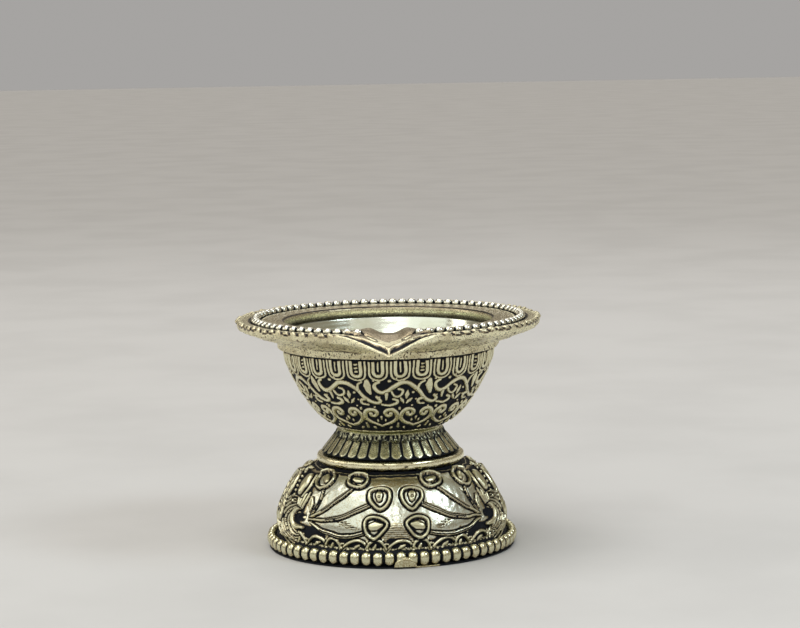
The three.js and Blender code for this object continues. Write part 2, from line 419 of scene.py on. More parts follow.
def oil_cup():
    """The polished cup behind the relief, with the blind boss for the stud underneath."""
    hole_top = STUD_TOP + CLEARANCE
    boss = [(0.05, hole_top), (BORE_R, hole_top), (BORE_R, BOWL_SEAT), (13.1, BOWL_SEAT), (13.1, 30.4)]
    wall = BOWL_GROUND - 0.7 * outward(BOWL_GROUND)
    edge = [(BOWL_R - 0.3, 50.4), (BOWL_R, 50.8), (BOWL_R, BOWL_LEDGE - 0.2), (BOWL_R - 0.2, BOWL_LEDGE),
            (25.3, BOWL_LEDGE), (25.05, BOWL_LEDGE - 0.08), (25.02, BOWL_LEDGE - 0.16)]
    spun = smooth([(25, 54.4), (23.5, 50), (19.9, 41.2), (10, 36.5), (0.05, 36)])
    section = np.vstack([even(boss, 1.5), even(wall[4:-3], 1), edge, even(spun, 0.4)])
    r, z = section[:, :1], section[:, 1:]
    tarnish = 0.9 * (z > BOWL_LEDGE - 0.12)
    return turned("oil_cup", all_round(240), r, z, ring=False, patina=tarnish)


# ---- flange ----

SPOUT_HALF_ANGLE = 19     # degrees either side of the tip
SPOUT_ROOT_R = 30         # radius where the pull towards the tip begins
SPOUT_DIP = 4.1           # how far the tip's upper edge drops
SPOUT_UNDER_DIP = 2.8     # the same for its lower edge
CHANNEL_DEPTH = 0.75      # trough that carries the wick
RIM_BEAD_GAP = 10.5       # degrees either side of the tip without beads
RIM_BEAD_RING_R = 33.3
RIM_BEADS = 78
ROPE_LUMPS = 92


def near_spout(angle, half_angle):
    """1 at the spout's centre line and 0 from half_angle outwards."""
    return np.maximum(0, 1 - np.abs(angle) / half_angle)


def pull_spout(angle, r, z):
    """Draws the flange out and down into the pointed spout, with a smooth channel for the wick."""
    pull = near_spout(angle, SPOUT_HALF_ANGLE) ** 1.5
    out = np.clip((r - SPOUT_ROOT_R) / (RIM_R - SPOUT_ROOT_R), 0, 1.05)
    dip = SPOUT_UNDER_DIP + (SPOUT_DIP - SPOUT_UNDER_DIP) * ramp(z, 55.5, RIM_TOP)
    channel = ramp(near_spout(angle, RIM_BEAD_GAP), 0, 0.8) * ramp(z, 56.3, 56.5) * ramp(35.9 - r, 0, 1.2)
    z = z + channel * (RIM_TOP - CHANNEL_DEPTH - z)
    return r + SPOUT_REACH * pull * out, z - dip * pull * out


def flange_section():
    """From the skirt's lower edge up its outside, over the edge and in to the mouth."""
    skirt = [(27.5, SKIRT_BOTTOM + 0.1), (27.55, 51.7), (28.1, 52.2), (32.4, 53.6), (36.6, 55.2)]
    edge = smooth([(36.6, 55.2), (37.5, 55.6), (37.85, 56.3), (37.8, 57), (37.3, 57.4), (36.7, RIM_TOP)], 6)
    bead_bed = smooth([(34.9, 57.35), (34.35, 56.85), (33.3, 56.5), (32.25, 56.85), (31.7, 57.25)], 6)
    top = smooth([(31.3, 57.3), (29, 57.02), (27, 57.28), (26.4, 57.2), (26.1, 56.9)], 6)
    return even(np.vstack([skirt, edge, bead_bed, top]), 0.2)


def rope_edge(flange, crest):
    """Slanting lumps along the outer corner, with black between them and a painted shadow below them."""
    angle, across = flange.angle, flange.rise - crest
    away = ramp(np.abs(flange.columns), SPOUT_HALF_ANGLE - 2, SPOUT_HALF_ANGLE + 4)[None, :]
    strength = np.clip(0.85 + 0.3 * wander(angle, flange.rise, 60, 17), 0.45, 1.1)
    twist = (angle * ROPE_LUMPS / 360 + across * 0.25) % 1
    lump = np.sqrt(np.clip(1 - ((2 * twist - 1) / 0.7) ** 2, 0, 1))
    band = np.sqrt(np.clip(1 - ((across + 0.05) / 0.62) ** 2, 0, 1)) * away
    flange.height += 0.55 * band * lump * strength
    flange.patina = np.maximum(flange.patina, 0.07 * band * lump)
    flange.darken(ramp(band, 0.2, 0.6) * ramp(lump, 0.6, 0.15) * 0.8)
    # Painted shadow: a broken black line under the lumps stands in for the shade they cast on the skirt.
    painted_shadow = ramp(-np.abs(across + 0.72), -0.26, -0.06) * away * ramp(lump, 0.2, 0.8)
    flange.darken(0.85 * painted_shadow * ramp(wander(angle, flange.rise, 60, 19, waves=30), -0.6, 0.8))


def double_lip(flange, crest, bed_outside, bed_inside):
    """The spout's two lips with a black step between them, and the worn ends of the bead row."""
    angle, across = flange.angle, flange.rise - crest
    near = near_spout(angle, 20)
    whole = ramp(near, 0, 0.65)
    inner_lip = 0.25 + 0.68 * near - 0.35 * ramp(-np.abs(angle), -1.8, -0.2)

    def ridge(middle, half_width):
        return np.sqrt(np.clip(1 - ((across - middle) / half_width) ** 2, 0, 1))

    flange.height += 0.16 * ramp(near, 0, 0.15) * ridge(-0.22, 0.26)
    flange.height += 0.75 * whole * ramp(across, inner_lip - 0.2, inner_lip + 0.15)
    flange.height += 0.16 * ramp(near, 0.05, 0.3) * ridge(inner_lip + 0.3, 0.28)
    step = ramp(across, -0.02, 0.1) * ramp(inner_lip + 0.05 - across, 0, 0.12)
    flange.darken(step * ramp(near, 0.06, 0.22) * ramp(np.abs(angle), 0.15, 0.5))
    inner = bed_outside + 0.6
    worn = {"groove": 0.25, "base": 0.3}
    flange.mirrored([(9, inner - 0.1), (16.5, inner - 0.9)], (0.15, 0.5, 0.62, 0.5, 0.15), 0.7, **worn)
    # Painted reflection: the trough is dulled brown for the dim brown room it reflects, and the stripe across
    # it that is kept lighter (rubbed) is a painted highlight.
    trough = ramp(near_spout(angle, 17), 0, 0.25) * ramp(across, inner_lip + 0.5, inner_lip + 0.9)
    rubbed = ridge(inner_lip + 3.7, 1.5) * ramp(near_spout(angle, 8), 0, 0.3)
    flange.patina = np.maximum(flange.patina, 0.27 * trough * (1 - 0.9 * rubbed))
    flange.height += 0.22 * whole * ridge(inner_lip + 2.2, 1.1) - 0.15 * whole * ridge(inner_lip + 4.2, 1.2)
    ring = (bed_outside + bed_inside) / 2
    for end, gap in ((-5, 0.4), (6, 0.6)):
        side = math.copysign(1, end)
        flange.stroke([(side * 10.5, ring), (end, ring + gap)], (0.85, 0.8, 0.7, 0.3), 0.7, **worn)


def work_skirt(flange):
    """The rough skirt: swellings, pits, faint scratches and a few scribed lines."""
    angle, rise = flange.angle, flange.rise
    shoulder = flange.rise_at(28.1, 52.2)
    on_skirt = ramp(flange.rise_at(37.9, 56.7) - rise, 0.2, 1.4)
    flange.height += 0.055 * on_skirt * wander(angle, rise, 150, 12, waves=40)
    flange.height += 0.10 * on_skirt * wander(angle, rise, 24, 13)
    pits = ramp(wander(angle, rise, 320, 14, waves=60), 1.35, 1.9) * on_skirt
    flange.height -= 0.12 * pits
    flange.darken(0.95 * pits)
    scratch = on_skirt * ramp(np.sin(rise * 6.5 + 0.7 * wander(angle, rise, 9, 15)), 0.8, 1)
    scratch = scratch * ramp(wander(angle, rise, 22, 16), -0.2, 0.9)
    flange.height -= 0.03 * scratch
    flange.darken(0.65 * scratch * ramp(rise, shoulder - 1.5, shoulder + 1))
    line = [(14, shoulder - 0.5), (26, shoulder), (45, shoulder + 0.35), (88, shoulder + 0.5)]
    flange.mirrored(line, (0.1, 0.2, 0.22, 0.18, 0.06), -0.12)
    fainter = [(20, shoulder + 0.7), (34, shoulder + 0.85), (52, shoulder + 1.3)]
    flange.mirrored(fainter, (0.05, 0.14, 0.05), -0.06)


def work_top(flange, bed_outside, bed_inside):
    """The blackened bed of the beads and a dark line round the mouth."""
    off_spout, straight = np.abs(flange.angle), flange.rises[:, None]
    mouth = flange.rise_at(26.5, 57.2)
    bed = ramp(straight, bed_outside - 0.3, bed_outside) * ramp(bed_inside - straight, -0.1, 0.1)
    flange.darken(bed * (off_spout > RIM_BEAD_GAP - 0.5))
    mouth_line = ramp(-np.abs(straight - mouth - 0.3), -0.24, -0.08) * ramp(off_spout, 9, 14)
    flange.height -= 0.06 * mouth_line
    flange.darken(0.9 * mouth_line)


def flange_casting():
    """The wide flange: sandy skirt, roped edge, bed for the beads and the spout's double lip."""
    flange = Relief(flange_section(), 1320, ground=0.0, seed=11, wobble=0.09)
    rise = flange.rise
    crest = flange.rise_at(37.4, 57.35)
    bed_outside = flange.rise_at(34.9, 57.35)
    bed_inside = flange.rise_at(31.7, 57.25)
    work_skirt(flange)
    rope_edge(flange, crest)
    work_top(flange, bed_outside, bed_inside)
    double_lip(flange, crest, bed_outside, bed_inside)
    # Painted reflection: the top inside the beads, and the brim outside them away from the spout, are dulled
    # brown for the dim brown room they reflect.
    flange.darken(0.2 * ramp(rise, bed_inside, bed_inside + 1))
    brim = ramp(rise, crest + 0.5, crest + 1.1) * (flange.rises[:, None] < bed_outside)
    flange.darken(0.15 * brim * ramp(np.abs(flange.angle), 20, 26))
    flange.roughen(0.006, 18)
    bore = [(26.15, 56.2), (26.1, 55), (26.5, 54.9), (26.5, 52.6), (26.5, SKIRT_BOTTOM), (27.3, SKIRT_BOTTOM)]
    return flange.sleeve("flange_casting", bore, pull_spout, back_patina=0.07)


# ---- beads ----

def bead_string(name, angles, pitch, ring_r, z, wide, tall, waist):
    """Oval beads on a wire round the axis."""
    whole = abs(angles[-1] - angles[0] + pitch - 360) < 0.01
    per_bead = 16
    first = angles[0] - pitch / 2
    columns = len(angles) * per_bead + (0 if whole else 1)
    angle = first + np.arange(columns) * pitch / per_bead
    dice = np.random.default_rng(7)
    share = np.abs((np.arange(columns) / per_bead) % 1 * 2 - 1)
    fullness = np.sqrt(np.clip(1 - (share * 1.14) ** 2, 0, 1))
    which = np.minimum(np.arange(columns) // per_bead, len(angles) - 1)
    size = dice.uniform(0.95, 1.03, len(angles))[which]
    lift = dice.normal(0, 0.03, len(angles))[which] * fullness
    swell = (waist + (1 - waist) * fullness) * size
    turn = np.linspace(0, 2 * math.pi, 20, endpoint=False)[:, None]
    r = ring_r + wide * swell * np.cos(turn)
    height = z + lift + tall * swell * np.sin(turn)
    # Dark where each bead narrows into the next; the lower half of each bead is dulled warm brown, a painted
    # shade and reflection on its underside.
    patina = np.maximum(ramp(fullness, 0.72, 0.4)[None, :], 0.27 * ramp(-np.sin(turn), -0.1, 0.8))
    return turned(name, angle, r, height, whole=whole, patina=patina)


def rim_beading():
    """The beads on the flange, open at the spout."""
    pitch = (360 - 2 * RIM_BEAD_GAP) / RIM_BEADS
    angles = RIM_BEAD_GAP + pitch * (np.arange(RIM_BEADS) + 0.5)
    return bead_string("rim_beading", angles, pitch, RIM_BEAD_RING_R, 57.5, 1.02, 1.02, 0.25)


def foot_beading():
    """The closed ring of upright beads round the foot."""
    count = 68
    pitch = 360 / count
    angles = 4 + pitch * np.arange(count)
    return bead_string("foot_beading", angles, pitch, 30.35, 2.3, 1.15, 1.72, 0.3)


def flat_lump():
    """The half-round lump of metal that runs two of the foot's beads together near the spout."""
    middle, reach = 5.8, 5.0
    angle = middle + np.linspace(-0.995, 0.995, 41) * reach
    top = 0.55 + 2.3 * np.sqrt(1 - ((angle - middle) / reach) ** 2)[None, :]
    r = np.array([30, 31.35, 31.5, 31.52, 31.45, 31.2, 30])[:, None]
    share = np.array([0, 0, 0.08, 0.6, 0.92, 1, 1])[:, None]
    return turned("flat_lump", angle, r, 0.45 + share * (top - 0.45), whole=False, patina=0.22)


# ---- neck ----

def fluted_neck():
    """The flared collar: flat panels between black grooves, and a rough band under the bowl."""
    flare = smooth([(COLLAR_R - 0.15, 24.1), (16.3, 25), (14.7, 27), (13.75, 28.3), (13.25, 29.5)])
    outside = np.vstack([[(COLLAR_R - 0.9, COLLAR_BOTTOM + 0.05)], flare])
    neck = Relief(even(outside, 0.11), 1008, ground=0.85, seed=21, wobble=0.05)
    angle, rise = neck.angle, neck.rise
    low, high = neck.rise_at(COLLAR_R - 0.3, 24.35), neck.rise_at(13.8, 28.15)
    neck.stroke([(5, low + 1), (5, high - 0.2)], (1.34, 1.22, 1.1, 1.02), 0.34, every=10, flat=6)
    rough = ramp(rise, high - 0.8, high + 0.3)
    speckle = wander(angle, rise, 110, 22, waves=40)
    neck.height = neck.height * (1 - 0.6 * rough) + 0.09 * rough * speckle
    neck.patina = neck.patina * (1 - rough) + rough * (0.58 + 0.25 * np.clip(speckle, -1, 1))
    neck.darken(0.3 * ramp(rise, low - 0.1, low + 0.9) * ramp(wander(angle, rise, 70, 23), -1.6, 0.6))
    neck.roughen(0.006, 24)
    top = COLLAR_TOP
    hidden = [(13.2, top), (BORE_R, top), (BORE_R, COLLAR_BOTTOM), (COLLAR_R - 1.1, COLLAR_BOTTOM)]
    return neck.sleeve("fluted_neck", hidden)


def half_round_ring():
    """The smooth ring between the collar and the base, a little dented and worn."""
    top = COLLAR_BOTTOM - 0.05
    half = (top - SEAM_BOTTOM) / 2
    middle = SEAM_BOTTOM + half
    turn = np.radians(np.linspace(-85, 85, 15))
    bulge = [(SEAM_R - half + half * math.cos(t) ** 0.5, middle + half * math.sin(t)) for t in turn]
    corners = [*bulge, (SEAM_R - 1.4, top), (BORE_R, top), (BORE_R, SEAM_BOTTOM)]
    section = np.vstack([even(bulge, 0.12), even(corners[-3:], 3)])
    angle = all_round(480)
    r, z = section[:, :1], section[:, 1:]
    dent = wander(angle[None, :], z, 30, 31) * 0.03 * (r > SEAM_R - half)
    worn = ramp(wander(angle[None, :], z * 6, 90, 32, waves=30), 1.3, 2.2) * 0.8
    return turned("half_round_ring", angle, r + dent, z, patina=worn)


# ---- base ----

FOOT_WALL = 2.75          # how far up the section the dome itself begins
DOME_GROUND = np.vstack([
    [(29.1, 0.6), (29.1, 3.05), (29, 3.3)],
    smooth([(27.9, 4.2), (28.2, 6.8), (28, 9.3), (26.8, 11.9), (25.2, 15), (23.3, 17.7), (21.1, 19.7),
            (19, 20.6)]),
    [(18.1, 20.75), (17.7, 21.1), (17.6, 21.3)],
])
PEACOCK_MIDDLE = 2.5      # degrees: where the front pair's tails meet
# A feather's stem is a path and its half-widths. Its eye is an outline, a middle and half-widths.
STEMS = (
    ([(49.5, 7.3), (49, 8.6), (46.4, 11.5), (45.7, 13.5), (46.8, 15.9)], (0.2, 0.3, 0.36, 0.4)),
    ([(49.5, 7.7), (41, 10.4), (34, 13), (25, 17.1)], (0.2, 0.38, 0.42, 0.38)),
    ([(49.5, 7.4), (36, 8), (28, 9.1), (20, 11), (13.7, 12.5)], (0.2, 0.44, 0.46, 0.42)),
    ([(48, 6.8), (39.4, 5.2), (31, 4.4), (24, 4.4), (16.5, 5.3)], (0.2, 0.44, 0.46, 0.4)),
)
EYES = (
    ([(53.4, 21), (57.4, 19.8), (56.8, 17.6), (53.4, 16), (49.4, 15.7), (45, 16.4), (43, 18), (44.8, 20),
      (48.6, 21)],
     [(47.6, 17.9), (50.6, 19.4)], (0.7, 1, 0.7)),
    ([(29, 20.6), (31.6, 19.4), (30.2, 17.8), (25.3, 16.9), (20.6, 16.9), (18, 18.3), (18.6, 20.2),
      (21.6, 21), (25.6, 21.1)],
     [(22.5, 18.8), (27, 19.2)], (0.75, 1, 0.7)),
    ([(15, 16.1), (9.8, 16.7), (4.2, 16.4), (3.3, 14.2), (5.5, 12.2), (8.9, 11.2), (12.1, 12.3),
      (15.2, 14.1)],
     [(9.4, 14.9), (9.2, 13.8)], (1.05, 0.7)),
    ([(4.4, 7.7), (8, 9), (12, 9.3), (15.5, 8.7), (16.4, 7.2), (15, 5.3), (12, 4.1), (9.4, 4.5), (6.8, 6)],
     [(7.8, 7.4), (12.6, 6.8)], (0.5, 1.2, 0.95)),
)
CROWNS = (
    [(45, 20), (48.6, 20.9), (53.4, 20.9), (57, 19.8)],
    [(18.6, 20.1), (21.6, 20.9), (25.6, 21), (29, 20.5), (31.2, 19.5)],
)


def front_and_back(dome):
    """Draws a stroke and its mirror image on the lamp's front and on its back."""
    return partial(dome.mirrored, every=180, start=PEACOCK_MIDDLE)


def work_feathers(dome):
    """The fan of long feathers with an eye at the end of each."""
    draw = front_and_back(dome)
    for path, widths in STEMS:
        line = smooth(path, 6)
        draw(line, widths, 0.5, groove=0.38, cut=0.28, flat=2.5)
        draw(line[5:], 0.19, -0.09)
    for outline, middle, widths in EYES:
        draw(loop(outline), 0.37, 0.62, groove=0.5, cut=0.28)
        draw(middle, widths, 0.5, groove=0.25)
    for crown in CROWNS:
        draw(crown, (0.38, 0.42, 0.42, 0.38), 0.72, base=0.55)
    draw([(9.3, 14.4), (9.35, 14.4)], 0.45, -0.35)
    draw([(9.3, 14.4), (9.35, 14.4)], 0.24, 0.66)
    dice = np.random.default_rng(45)
    for k in range(9):
        angle, rise = 17.2 + 1.1 * k + dice.uniform(0, 3), 6.2 + 0.26 * k + dice.uniform(-0.2, 0.2)
        far, drop = dice.uniform(3.5, 7), dice.uniform(0.15, 0.35)
        draw([(angle, rise), (angle + far, rise - drop)], (0.03, 0.1, 0.03), -0.07)
    for k in range(3):
        scratch = smooth([(42 + k, 15.2 - k), (44.6 + k, 13 - k), (45 + k, 11.2 - k)], 4)
        draw(scratch, 0.1, -0.12)


def work_breast(dome):
    """Rows of curved breast feathers round the wing's root, and the hole under its hook."""
    draw = front_and_back(dome)

    def on_oval(wide, high, turn):
        """A point on an oval round the wing's root."""
        return 55 + wide * math.sin(turn), 6.2 - high * math.cos(turn)

    turns = np.radians(np.linspace(8, 158, 12))
    for k in range(7):
        row = [on_oval(9 + 3.5 * k, 2.7 + 0.62 * k, turn) for turn in turns]
        draw(row, (0.14, 0.3, 0.34, 0.16), 0.3 + 0.1 * k, groove=0.22, cut=0.22)
    for k in range(8):
        turn = math.radians(30 + 15 * k)
        for near in (14.2, 24.7):
            low = 2.7 + 0.62 * (near - 9) / 3.5
            draw([on_oval(near, low, turn), on_oval(near + 1.8, low + 0.36, turn)], 0.12, -0.16)
    hook = smooth([(58.6, 9.6), (61.6, 8.8), (62.4, 7.2), (60.6, 5.7), (57, 5), (52.5, 5.1)], 6)
    draw(hook, (0.35, 0.62, 0.72, 0.7, 0.66, 0.4), 1.05, groove=0.35, cut=0.25)
    draw([(54.2, 7.6), (56.2, 7.3)], (1.1, 1.25, 0.9), -0.5)


def work_shoulder(dome):
    """The bird's smooth egg-shaped back with its collar of small beads and a few short plumes."""
    draw = front_and_back(dome)
    draw([(50.4, 9.6), (52.2, 12.6)], (0.3, 0.95, 0.4), 0.45, groove=0.3)
    draw([(50.8, 10.2), (52, 12.2)], 0.1, -0.14)
    for k in range(4):
        plume = [(57.6 + 1.5 * k, 9.8 + 0.15 * k), (55.4 + 3.2 * k, 13.8 - 0.2 * k)]
        draw(plume, (0.2, 0.5, 0.25), 0.5, groove=0.25)
    draw([(64.2, 13.8), (64.8, 17.4)], (1.3, 2.1, 1.5), 1.25, groove=0.4, cut=0.3)
    edge = smooth([(60.8, 12.4), (58.6, 15), (60, 18.8)], 6)
    draw(edge, (0.2, 0.45, 0.3), 0.6, groove=0.3)
    for k in range(8):
        along = k / 7
        angle, rise = 69 + 10 * along, 10.6 + 9 * along
        size = 0.62 if k == 1 else 0.46
        draw([(angle, rise), (angle + 0.05, rise)], size, 0.7, groove=0.3)


def work_head(dome):
    """The bird's long neck, its head with an eye, and a crest of three plumes."""
    draw = front_and_back(dome)
    neck = smooth([(78, 6.5), (79.5, 10), (78.5, 13.5), (81, 16.4), (86, 17.2)], 6)
    draw(neck, (1.7, 1.4, 0.9, 0.9, 1.2, 0.8), 1.15, groove=0.4, cut=0.3)
    draw([(83.8, 17.4), (83.9, 17.4)], 0.32, -0.3)
    for k in range(3):
        tip = (77 + 3.5 * k, 20.3)
        draw([(81.8 + 0.8 * k, 18.6), tip], (0.2, 0.36), 0.5, groove=0.2)
    for k in range(6):
        up = 7.2 + 1.4 * k
        draw([(76.8 + 0.3 * k, up), (78.6, up + 0.5), (80.6, up)], 0.12, -0.2)


def work_tree(dome):
    """The small flowering plant in its pot, between two birds that face each other."""
    between = {"every": 180, "start": PEACOCK_MIDDLE + 90}
    draw, both = partial(dome.stroke, **between), partial(dome.mirrored, **between)
    draw([(0, 4.6), (0, 14.6)], (0.55, 0.42, 0.36, 0.3), 0.6, groove=0.25)
    draw([(0, 3), (0, 4.6)], (1.2, 1.7, 1.5), 0.8, groove=0.3)
    both([(0, 5.3), (2.6, 5.5)], 0.3, 0.9)
    for k in range(4):
        up = 6.4 + 2.1 * k
        tip = 7.4 - 0.9 * k
        leaf = smooth([(0.4, up), (0.55 * tip, up + 0.7), (tip, up + 2.3)], 5)
        both(leaf, (0.15, 0.62, 0.5, 0.12), 0.55, groove=0.25)
        both(leaf[2:-2], 0.09, -0.14)
        both([(tip - 0.6, up + 0.2), (tip - 0.55, up + 0.2)], 0.34, 0.5, groove=0.2)
    flower = 16.8
    for k in range(8):
        turn = math.radians(45 * k)
        across, up = 3.4 * math.sin(turn), 1.5 * math.cos(turn)
        petal = [(0.45 * across, flower + 0.45 * up), (across, flower + up)]
        draw(petal, (0.2, 0.5), 0.5, groove=0.2)
    draw([(0, flower), (0.02, flower)], 0.6, 0.8, groove=0.2)


def work_waves(dome):
    """The band of double arches round the foot of the dome, with buds under them."""
    draw = partial(dome.stroke, every=22.5, start=-3)
    first = smooth([(0, 1), (2.3, 2.3), (5.4, 3.25), (8.8, 3.55), (11.8, 3.1), (13.4, 1.9)], 5)
    second = smooth([(13.4, 1.9), (14.4, 3), (16.6, 3.65), (19.2, 3.4), (21.4, 2.3), (22.5, 1)], 5)
    for arch in (first, second):
        draw(arch, (0.36, 0.44, 0.36), 0.62, groove=0.26)
    draw([(6, 1.2), (9.2, 2.3)], (0.35, 0.65, 0.3), 0.45)
    draw([(11.5, 1.1), (9.6, 1.6)], (0.25, 0.42, 0.2), 0.4)
    draw([(16.2, 1.2), (17.2, 2.4)], (0.4, 0.6, 0.3), 0.45)
    for angle, rise, size in ((3.4, 1.1, 0.42), (13.4, 1, 0.42), (19.8, 1.2, 0.45), (13.3, 3.4, 0.3),
                              (22.4, 2.6, 0.34), (1, 2.6, 0.28), (20.8, 3.6, 0.26)):
        draw([(angle, rise), (angle + 0.02, rise)], size, 0.4)


def work_ground(dome, recess):
    """The bright ground, black at the foot, at the sides and under the neck, with fine tool marks."""
    angle, rise = dome.angle, dome.rise
    from_middle = np.abs((angle - PEACOCK_MIDDLE + 90) % 180 - 90)
    blotch = wander(angle, rise, 60, 42, waves=30)
    below = ramp(4.4 + 0.9 * ramp(from_middle, 18, 30) - rise + 0.35 * blotch, 0, 1)
    side_ground = ramp(from_middle, 53, 57) * ramp(21 - rise, 0, 2)
    under_stem = ramp(from_middle, 34, 42) * ramp(6.2 - rise, 0, 0.6)
    dome.darken(0.96 * np.maximum(below, under_stem))
    dome.darken(0.93 * side_ground)
    tools = ramp(np.sin(rise * 12.5 + 0.5 * blotch), -0.2, 0.7)
    tools = tools * ramp(rise, 8.6, 7) * ramp(from_middle, 8.5, 6)
    dome.darken(0.72 * tools)
    dome.height -= 0.03 * tools
    dome.darken(0.27 * ramp(rise + 0.2 * blotch, 16.2, 18.2) * ramp(from_middle, 20, 15))
    dome.darken(ramp(rise + 0.1 * blotch, recess - 1.2, recess - 0.8))


def dome_relief():
    """The cast outside of the base: two pairs of peacocks, tail to tail, on a bright ground."""
    dome = Relief(even(DOME_GROUND, 0.155), 1320, ground=0.12, seed=41, wobble=0.08, zero=FOOT_WALL)
    recess = dome.rise_at(19, 20.6)
    work_ground(dome, recess)
    dome.roughen(0.011, 43)
    work_waves(dome)
    work_feathers(dome)
    work_breast(dome)
    work_shoulder(dome)
    work_head(dome)
    work_tree(dome)
    dome.stroke([(-181, recess + 0.1), (181, recess + 0.1)], 0.14, 0.12)
    dome.roughen(0.005, 44)
    return dome.sleeve("dome_relief", behind(DOME_GROUND, 0.5))


def dome_shell():
    """The hollow casting behind the relief, and the flat ring that the lamp stands on."""
    lip = [(26.8, 0.1), (26.9, 0), (30.6, 0), (LIP_R, 0.15), (LIP_R, 0.45)]
    step = [(28.5, 0.5), (28.3, 2.9), (27.2, 4)]
    wall = (DOME_GROUND - 0.7 * outward(DOME_GROUND))[10:-3]
    ceiling = 18.7
    top = [(17.2, DOME_TOP), (BORE_R, DOME_TOP), (BORE_R, ceiling + 0.1), (3, ceiling), (16, ceiling)]
    inside = smooth([(16, ceiling), (21.9, 15.6), (25.7, 9.5), (26.4, 3), (26.7, 0.6)])
    corners = np.vstack([lip, step, wall, top, inside])
    section = even(np.vstack([corners, corners[:1]]), 0.55)[:-1]
    r, z = section[:, :1], section[:, 1:]
    angle = all_round(480)
    hidden = (r < 28.5) & (z < DOME_TOP - 0.5)
    lumps = 0.09 * hidden * wander(angle[None, :], z + r, 60, 51, waves=30)
    patina = np.clip(0.35 + 0.3 * wander(angle[None, :], z + r, 40, 52), 0, 0.8)
    under_beads = (r > 28.3) & (z < 3)
    polished = ramp(np.abs(angle - 16), 6.5, 5)[None, :]
    patina = np.where(under_beads, 0.95 - 0.7 * polished, patina)
    return turned("dome_shell", angle, r + lumps, z, patina=patina)


# ---- fastening ----

def threaded_stud():
    """A stud with a rolled thread."""
    pitch = 0.8
    heights = np.linspace(STUD_BOTTOM, STUD_TOP, 260)[:, None]
    angle = all_round(40)
    phase = (heights / pitch - angle[None, :] / 360) % 1
    depth = 0.42 * np.abs(2 * phase - 1)
    end = np.minimum(heights - STUD_BOTTOM, STUD_TOP - heights)
    r = np.minimum(STUD_R - depth, STUD_R - 0.55 + end)
    return turned("threaded_stud", angle, r, heights, ring=False)


def bevelled_washer():
    """A washer with its outer corners taken off."""
    low, high, r = WASHER_BOTTOM, WASHER_TOP, WASHER_R
    rim = [(r - 0.2, low), (r, low + 0.2), (r, high - 0.25), (r - 0.25, high)]
    section = even([(BORE_R, low), *rim, (BORE_R, high), (BORE_R, low)], 0.2)[:-1]
    return turned("bevelled_washer", all_round(96), section[:, :1], section[:, 1:])


def chamfered_nut():
    """A hexagon with its corners turned off at both ends."""
    flats = 4.0
    angle = all_round(240)
    local = (angle + 30) % 60 - 30
    hexagon = flats / np.cos(np.radians(local))[None, :]
    heights = np.linspace(NUT_BOTTOM, NUT_TOP, 24)[:, None]
    end = np.minimum(heights - NUT_BOTTOM, NUT_TOP - heights)
    outside = np.minimum(hexagon, flats + 0.15 + 1.7 * end)
    bore = np.linspace(NUT_TOP, NUT_BOTTOM, 8)[:, None]
    inner = BORE_R + 0.3 * ramp(np.abs(bore - (NUT_TOP + NUT_BOTTOM) / 2), 1.4, 2) + 0 * angle
    return turned("chamfered_nut", angle, np.vstack([outside, inner]), np.vstack([heights, bore]))


# ---- materials ----

